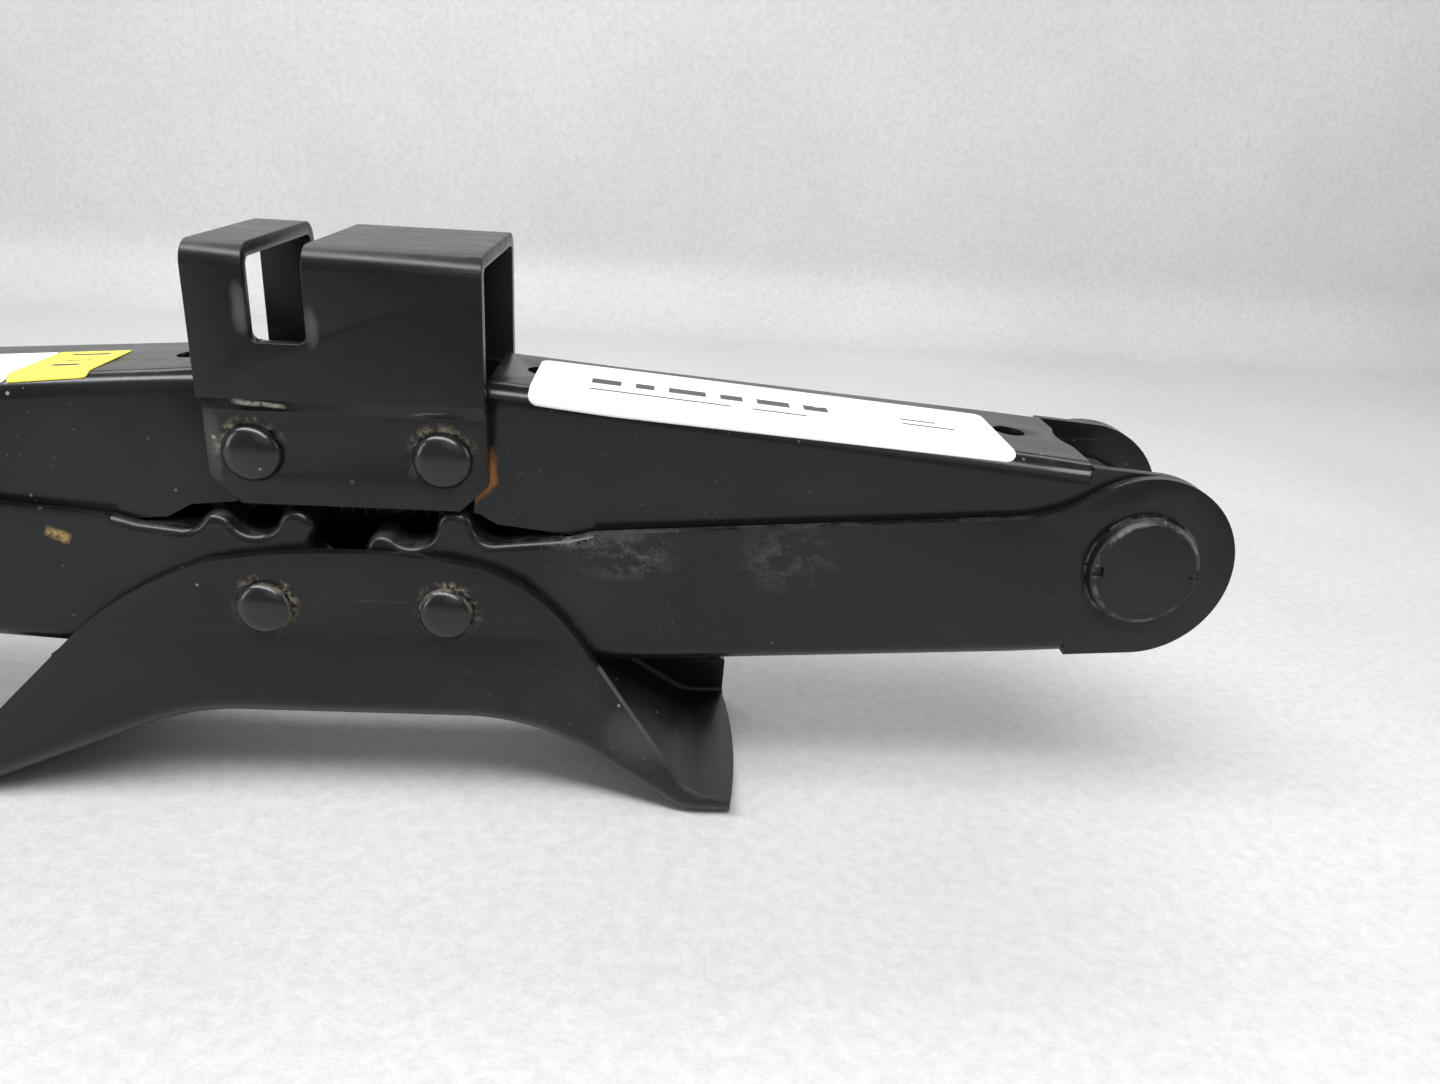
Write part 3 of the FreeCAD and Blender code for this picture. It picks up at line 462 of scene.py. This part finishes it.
# Rivets and cross shafts, in mm: where the sheets' faces are, the heads' radii and domes, and the
# radii of the shafts and of the holes that they go through.
BASE_FACE = 25.2
BASE_HEAD = 6.5
SADDLE_FACE = 22.3
SADDLE_HEAD = 6.7
SHAFT_RADIUS = 12.8
SHAFT_HOLE = 13.2
HEAD_RISE = 3.4
RIM_HEIGHT = 0.25
PIN_RADIUS = 5.0
PIN_SIDES = 56
DOME_STEPS = 12

# Lead screw, in mm, with its thread's flats and flanks as shares of the pitch.
SHANK_LENGTH = 46.0
TIP_LENGTH = 1.0
THREAD_PITCH = 3.0
THREAD_CREST = 5.95
THREAD_ROOT = 4.6
THREAD_DEPTH = THREAD_CREST - THREAD_ROOT
THREAD_FLAT = 0.36
THREAD_FLANK = 0.50 - THREAD_FLAT
THREAD_SIDES = 36
RINGS_PER_PITCH = 10

# Thrust balls, in mm.
BALL_COUNT = 10
BALL_CIRCLE = 8.6
BALL_RADIUS = 1.75


def mesh_of(shape, name):
    """Mesh of a finished shape, which is freed."""
    mesh = bpy.data.meshes.new(name)
    shape.to_mesh(mesh)
    shape.free()
    return mesh


def add_piece(name, mesh, node, material):
    """New object that stands for a CAD node and moves with its body."""
    mesh.materials.clear()
    mesh.materials.append(material)
    piece = bpy.data.objects.new(name, mesh)
    bpy.context.scene.collection.objects.link(piece)
    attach(piece, BODY_OF[node])
    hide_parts(node)
    return piece


def rounded_part(node, name, radius, material, segments=3):
    """A CAD node's shape with its sharp edges rounded as sheared or machined metal is."""
    mesh = frame["nodes"][node].data.copy()
    clean = bmesh.new()
    clean.from_mesh(mesh)
    for face in clean.faces:
        face.material_index = 0
        face.smooth = True
    bmesh.ops.remove_doubles(clean, verts=clean.verts, dist=0.002 * MM)
    bmesh.ops.dissolve_limit(clean, angle_limit=SAME_PLANE, verts=clean.verts, edges=clean.edges)
    clean.to_mesh(mesh)
    clean.free()
    piece = add_piece(name, mesh, node, material)
    bevel = piece.modifiers.new("rounding", "BEVEL")
    bevel.limit_method = "ANGLE"
    bevel.angle_limit = SHARP_EDGE
    bevel.width = radius * MM
    bevel.segments = segments
    bevel.harden_normals = True


def ring(shape, radii, along, axis, centre):
    """Ring of points round an axis, one for each radius in mm."""
    turn = 2 * math.pi / len(radii)
    return [shape.verts.new(turned_point(radius, along, turn * step, axis, centre))
            for step, radius in enumerate(radii)]


def skin(shape, rings):
    """Smooth faces between each ring and the next; a ring of one point is a pole."""
    for lower, upper in zip(rings, rings[1:]):
        count = max(len(lower), len(upper))
        for step in range(count):
            after = (step + 1) % count
            corners = (lower[step % len(lower)], lower[after % len(lower)],
                       upper[after % len(upper)], upper[step % len(upper)])
            shape.faces.new(list(dict.fromkeys(corners))).smooth = True


def turned_point(radius, along, turn, axis, centre):
    """Point of a turned shape whose axis is X or Y."""
    out, up = radius * math.cos(turn), radius * math.sin(turn)
    return centre + (at(along, out, up) if axis == "X" else at(out, along, up))


def dome_profile(head, face):
    """Rivet head from its pole to its rim and under it, as (radius, along) in mm."""
    points = [(0.0, face + HEAD_RISE)]
    for step in range(1, DOME_STEPS + 1):
        turn = math.radians(90 * step / DOME_STEPS)
        dome = (HEAD_RISE - RIM_HEIGHT) * math.cos(turn) ** 0.92
        points.append((head * math.sin(turn) ** 0.86, face + RIM_HEIGHT + dome))
    points.append((head * 0.985, face + 0.06))
    points.append((PIN_RADIUS, face + 0.02))
    return points


def add_pin(node, name, face, head, material):
    """Through pin with a domed head on each end."""
    front = dome_profile(head, face)
    back = [(radius, -along) for radius, along in reversed(front)]
    centre = middle(node)
    shape = bmesh.new()
    rings = []
    for radius, along in front + back:
        count = PIN_SIDES if radius else 1
        rings.append(ring(shape, [radius] * count, along, "Y", centre))
    skin(shape, rings)
    bmesh.ops.recalc_face_normals(shape, faces=shape.faces)
    add_piece(name, mesh_of(shape, name), node, material)


def add_screw(material):
    """Lead screw: a plain shank that starts at its left end, then a thread, then a short tip."""
    low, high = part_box("lead_screw")
    start = Vector((low.x, (low.y + high.y) / 2, (low.z + high.z) / 2))
    length = (high.x - low.x) / MM
    threaded = length - SHANK_LENGTH - TIP_LENGTH
    shape = bmesh.new()
    shank = ((0.0, THREAD_CREST - 0.55), (0.6, THREAD_CREST), (SHANK_LENGTH - 1.5, THREAD_CREST))
    rings = [ring(shape, [radius] * THREAD_SIDES, along, "X", start) for along, radius in shank]
    count = int(threaded / THREAD_PITCH * RINGS_PER_PITCH)
    for row in range(count + 1):
        along = SHANK_LENGTH + threaded * row / count
        radii = [thread_radius(along / THREAD_PITCH - step / THREAD_SIDES)
                 for step in range(THREAD_SIDES)]
        rings.append(ring(shape, radii, along, "X", start))
    rings.append(ring(shape, [THREAD_ROOT - 0.4] * THREAD_SIDES, length, "X", start))
    skin(shape, rings)
    shape.faces.new(rings[0])
    shape.faces.new(rings[-1])
    bmesh.ops.recalc_face_normals(shape, faces=shape.faces)
    add_piece("screw_thread", mesh_of(shape, "screw_thread"), "lead_screw", material)


def thread_radius(phase):
    """Radius across one pitch: flat crest, flank, flat root of the same width, flank."""
    part = phase % 1.0
    if part < THREAD_FLAT:
        return THREAD_CREST
    if part < 0.50:
        return THREAD_CREST - THREAD_DEPTH * (part - THREAD_FLAT) / THREAD_FLANK
    if part < 0.50 + THREAD_FLAT:
        return THREAD_ROOT
    return THREAD_ROOT + THREAD_DEPTH * (part - 0.50 - THREAD_FLAT) / THREAD_FLANK


def add_balls(material):
    """Ring of smooth thrust balls."""
    centre = middle("thrust_balls")
    shape = bmesh.new()
    for index in range(BALL_COUNT):
        place = turned_point(BALL_CIRCLE, 0, 2 * math.pi * index / BALL_COUNT, "X", centre)
        bmesh.ops.create_uvsphere(shape, u_segments=24, v_segments=14, radius=BALL_RADIUS * MM,
                                  matrix=Matrix.Translation(place))
    for face in shape.faces:
        face.smooth = True
    add_piece("bearing_balls", mesh_of(shape, "bearing_balls"), "thrust_balls", material)


# ---------------------------------------------------------------- labels

# Upper arm's outer skin, in mm, from its saddle pin.
ARM_HALF_WIDTH = 18.8
ARM_SPREAD = 4.1
ARM_SPREAD_START = 36.0
ARM_SPREAD_LENGTH = 99.0
WEB_HEIGHT = 17.9
WEB_SLOPE = 0.0297
WEB_BEND = 5.0

FILM_THICKNESS = 0.16
FILM_LIFT = 0.05
FILM_ROWS = 48
FILM_COLUMNS = 30


def arm_surface(side, along, path):
    """Point just above an upper arm's outer skin, in metres.

    side is 1 for the right arm and -1 for the left one, along runs from the saddle pin, and path runs
    forward from the arm's middle line and down over its front bend, both in mm."""
    half = ARM_HALF_WIDTH + ARM_SPREAD * max(along - ARM_SPREAD_START, 0.0) / ARM_SPREAD_LENGTH
    web = WEB_HEIGHT + WEB_SLOPE * along
    flat = half - WEB_BEND
    if path < flat:
        y, z = -path, web + FILM_LIFT
    else:
        turn = min((path - flat) / WEB_BEND, math.pi / 2)
        below = path - flat - WEB_BEND * turn
        y = -flat - (WEB_BEND + FILM_LIFT) * math.sin(turn)
        z = web - WEB_BEND + (WEB_BEND + FILM_LIFT) * math.cos(turn) - below
    pin = SADDLE_PINS[1 if side > 0 else 0]
    x = side * (along * math.cos(REST_ANGLE) + z * math.sin(REST_ANGLE))
    up = z * math.cos(REST_ANGLE) - along * math.sin(REST_ANGLE)
    return Vector((pin.x / MM + x, y, pin.z / MM + up)) * MM


def add_label(name, node, side, ends, rear, front, corner, material):
    """Thin film on an arm, with round corners: its two ends along the arm in mm.

    rear and front each give the film's edge at both ends, as mm forward of the arm's middle line."""
    start, end = ends
    shape = bmesh.new()
    grid = []
    for row in range(FILM_ROWS + 1):
        share = 0.5 - 0.5 * math.cos(math.pi * row / FILM_ROWS)
        along = start + (end - start) * share
        near_end = min(along - start, end - along)
        inset = 0.0
        if near_end < corner:
            inset = corner - math.sqrt(max(0.0, corner ** 2 - (corner - near_end) ** 2))
        low = rear[0] + (rear[1] - rear[0]) * share + inset
        high = front[0] + (front[1] - front[0]) * share - inset
        paths = [low + (high - low) * column / FILM_COLUMNS for column in range(FILM_COLUMNS + 1)]
        grid.append([shape.verts.new(arm_surface(side, along, path)) for path in paths])
    for first, second in zip(grid, grid[1:]):
        for column in range(FILM_COLUMNS):
            corners = (first[column], first[column + 1], second[column + 1], second[column])
            shape.faces.new(corners).smooth = True
    bmesh.ops.remove_doubles(shape, verts=shape.verts, dist=0.001 * MM)
    bmesh.ops.recalc_face_normals(shape, faces=shape.faces)
    if sum(face.normal.z for face in shape.faces) < 0:
        bmesh.ops.reverse_faces(shape, faces=shape.faces)
    piece = add_piece(name, mesh_of(shape, name), node, material)
    film = piece.modifiers.new("film", "SOLIDIFY")
    film.thickness = FILM_THICKNESS * MM
    film.offset = 1.0


# ---------------------------------------------------------------- assembly

def add_base():
    """Base: crumbs round both rivets and a faint dusty patch on the right leg."""
    layers = [rivet_crumbs(pin, BASE_HEAD * MM, 8.6 * MM) for pin in BASE_PINS]
    layers.append(patch(at(68, -28, 22), 12 * MM, DUST, 0.12, 0.8, (0.8, 0.3, 1), 120, 0.45))
    layers.append(settled_dust(0.04))
    rounded_part("base_plate", "base_sheet", 0.9, layered_paint("base_paint", layers, 0.31))


def add_saddle():
    """Saddle: worn top, rubbed notch, crumbs round the rivets and two scratches above them."""
    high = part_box("saddle")[1]
    layers = [rivet_crumbs(pin, SADDLE_HEAD * MM, 9.0 * MM, 0.6, -0.5, 0.0) for pin in SADDLE_PINS]
    layers.append(worn_top(high.z))
    layers.append(patch(at(-19.5, -24.7, 122), 6 * MM, BARE, 0.35, 0.6, (2.2, 0.3, 0.7)))
    layers.append(patch(at(-5, -24.7, 119), 5 * MM, BARE, 0.30, 0.6, (2.2, 0.3, 0.7)))
    # Narrow soft lighter streak down the saddle's left edge, about 79 to 105 mm up.
    layers.append(patch(at(-29.5, -22.3, 92), 9 * MM, DUST, 0.18, 0.8, (3.0, 0.3, 0.7), 200))
    layers.append(scratch(at(-24, -23.4, 101.6), at(-12, -23.4, 100.8), 0.9 * MM, PALE))
    layers.append(scratch(at(14, -23.4, 100.3), at(23, -23.4, 100.9), 0.4 * MM, PALE, 0.25))
    rounded_part("saddle", "saddle_sheet", 0.7, layered_paint("saddle_paint", layers, 0.28))


def add_lower_arms():
    """Lower arms: rubbed rings round the cross shafts, smears on the right arm, one spot on the left."""
    smears = [smear(at(62, -22.6, 68), 11 * MM, (0.75, 0.3, 1.5), 0.5),
              smear(at(101, -23.6, 69.5), 12 * MM, (0.8, 0.3, 1.2), 0.3),
              smear(at(50, -22.0, 71), 6 * MM, (0.6, 0.3, 2.2), 0.5)]
    spot = [scratch(at(-69.5, -23.3, 69.0), at(-64.0, -23.3, 66.6), 1.7 * MM, OCHRE)]
    for word, marks, trunnion in (("right", smears, TRUNNIONS[1]), ("left", spot, TRUNNIONS[0])):
        rubbed = turned_rim(trunnion, SHAFT_HOLE * MM, (SHAFT_HOLE + 0.7) * MM, DUST, 0.45)
        layers = marks + [rubbed, settled_dust(0.25)]
        node = f"lower_arm_{word}"
        rounded_part(node, node + "_sheet", 0.5, layered_paint(node + "_paint", layers, 0.27))


def add_upper_arms():
    """Upper arms, with rust on the right one beside the saddle's lower corner."""
    low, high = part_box("saddle")
    rust = [edge_rust(Vector((high.x, 0, low.z + 6.5 * MM)), 3.1 * MM)]
    for word, marks in (("right", rust), ("left", [])):
        layers = marks + [settled_dust(0.12)]
        node = f"upper_arm_{word}"
        rounded_part(node, node + "_sheet", 0.5, layered_paint(node + "_paint", layers, 0.23))


def add_pins():
    """Painted rivets, and the steel spacers on the saddle's."""
    for word, place in (("left", BASE_PINS[0]), ("right", BASE_PINS[1])):
        rub = [turned_rim(place, (BASE_HEAD - 0.5) * MM, (BASE_HEAD + 0.1) * MM, EARTH, 0.35)]
        add_pin(f"base_pin_{word}", f"base_rivet_{word}", BASE_FACE, BASE_HEAD,
                layered_paint(f"base_rivet_{word}_paint", rub, 0.24, 0.48))
        add_pin(f"saddle_pin_{word}", f"saddle_rivet_{word}", SADDLE_FACE, SADDLE_HEAD,
                layered_paint(f"saddle_rivet_{word}_paint", [], 0.22, 0.48))
    steel = bare_steel("spacer_steel", (0.14, 0.135, 0.13, 1), 0.4, 0.5, "Y")
    rounded_part("saddle_bushes", "saddle_spacers", 0.4, steel)


def add_trunnions():
    """Painted cross shafts with rubbed rims."""
    for node, place in (("trunnion_block", TRUNNIONS[0]), ("trunnion_nut", TRUNNIONS[1])):
        rubbed = turned_rim(place, (SHAFT_RADIUS - 0.9) * MM, SHAFT_RADIUS * MM, BARE, 0.6)
        layers = [rubbed, settled_dust(0.5)]
        rounded_part(node, node + "_shaft", 0.5, layered_paint(node + "_paint", layers, 0.38))


def add_screw_pieces():
    """Thread, thrust bearing, collars and winding eye."""
    add_screw(bare_steel("thread_steel", (0.16, 0.155, 0.145, 1), 0.36, 0.8, "X"))
    forged = bare_steel("forged_steel", (0.15, 0.15, 0.155, 1), 0.42, 0.6)
    ground = bare_steel("ground_steel", (0.48, 0.48, 0.47, 1), 0.22, 0.3)
    spring = bare_steel("spring_steel", (0.32, 0.32, 0.33, 1), 0.30, 0.4)
    brass = bare_steel("cage_brass", (0.55, 0.42, 0.20, 1), 0.32, 0.4)
    rounded_part("drive_eye", "winding_eye", 1.6, forged, 4)
    rounded_part("thrust_collar", "collar", 0.7, forged)
    rounded_part("stop_collar", "end_collar", 0.5, forged)
    rounded_part("retaining_ring", "ring", 0.25, spring)
    rounded_part("roll_pin", "cross_pin", 0.4, spring)
    rounded_part("thrust_washer_fixed", "washer_fixed", 0.3, ground)
    rounded_part("thrust_washer_turning", "washer_turning", 0.3, ground)
    rounded_part("ball_cage", "cage", 0.25, brass)
    add_balls(bare_steel("ball_steel", (0.62, 0.62, 0.62, 1), 0.12, 0.1))


def add_right_label():
    """White film on the right arm, with one row of dashes and a few thin lines."""
    bars = [(53, 86, -12.0, -10.8), (91, 104, -12.0, -10.8),
            (128, 141, -7.5, -6.3), (128, 137, -3.5, -2.3)]
    x, gap = 53.0, 3.4
    for width in (7.0, 4.5, 9.0, 5.5, 8.0, 6.0):
        bars.append((x, x + width, -6.0, -1.5))
        x += width + gap
    film = printed_film("label_white_film", (0.80, 0.815, 0.83, 1), bars)
    add_label("label_right", "label_white_right", 1,
              (16.8, 129.8), (-10.8, -12.4), (20.2, 22.4), 2.4, film)


def add_left_labels():
    """Yellow film and plain white film beside each other on the left arm."""
    bars = [(-70, -61, 1.5, 3.2), (-69, -63, -9.5, -7.5), (-68, -62, -4.5, -3.6)]
    film = printed_film("label_yellow_film", (0.83, 0.70, 0.06, 1), bars)
    add_label("label_left_yellow", "label_yellow_left", -1,
              (34.6, 51.6), (-5.8, -6.0), (17.2, 18.4), 0.8, film)
    bars = [(-100, -78, 1.0, 1.8), (-96, -78, -2.0, -1.2),
            (-104, -78, -8.0, -7.0), (-98, -78, -11.0, -10.2)]
    film = printed_film("label_plain_film", (0.78, 0.79, 0.80, 1), bars, FAINT_INK)
    add_label("label_left_white", "label_white_left", -1,
              (51.8, 128.0), (-6.0, -6.0), (18.4, 21.5), 1.2, film)


def floor_surface():
    """Pale worn table top with a fine darker grain."""
    shader = Shader("floor_surface")
    grain = shader.ramp(shader.noise(260, 6, rough=0.8), 0.40, 0.66)
    cloud = shader.ramp(shader.noise(6, 4), 0.3, 0.7)
    colour = shader.mix(cloud, FLOOR_DULL, FLOOR_LIGHT)
    colour = shader.mix(shader.product(grain, 0.35), colour, FLOOR_GRAIN)
    shader.bump(grain, 0.2 * MM, 0.5)
    return shader.finish(colour, 0.45)


def add_floor():
    """Flat table top under the jack that curves up into a wall behind it."""
    steps = 8
    curve_start = WALL_BACK - WALL_CURVE
    line = [(-FLOOR_REACH, 0.0), (curve_start, 0.0)]
    for step in range(1, steps + 1):
        turn = math.radians(90 * step / steps)
        line.append((curve_start + WALL_CURVE * math.sin(turn), WALL_CURVE * (1 - math.cos(turn))))
    line.append((WALL_BACK, WALL_TOP))
    shape = bmesh.new()
    left = [shape.verts.new((-FLOOR_REACH, y, z)) for y, z in line]
    right = [shape.verts.new((FLOOR_REACH, y, z)) for y, z in line]
    for index in range(len(line) - 1):
        corners = (left[index], right[index], right[index + 1], left[index + 1])
        shape.faces.new(corners).smooth = True
    mesh = mesh_of(shape, "floor")
    mesh.materials.append(floor_surface())
    floor = bpy.data.objects.new("floor", mesh)
    bpy.context.scene.collection.objects.link(floor)


add_camera()
add_lights()
add_floor()
add_base()
add_saddle()
add_lower_arms()
add_upper_arms()
add_pins()
add_trunnions()
add_screw_pieces()
add_right_label()
add_left_labels()
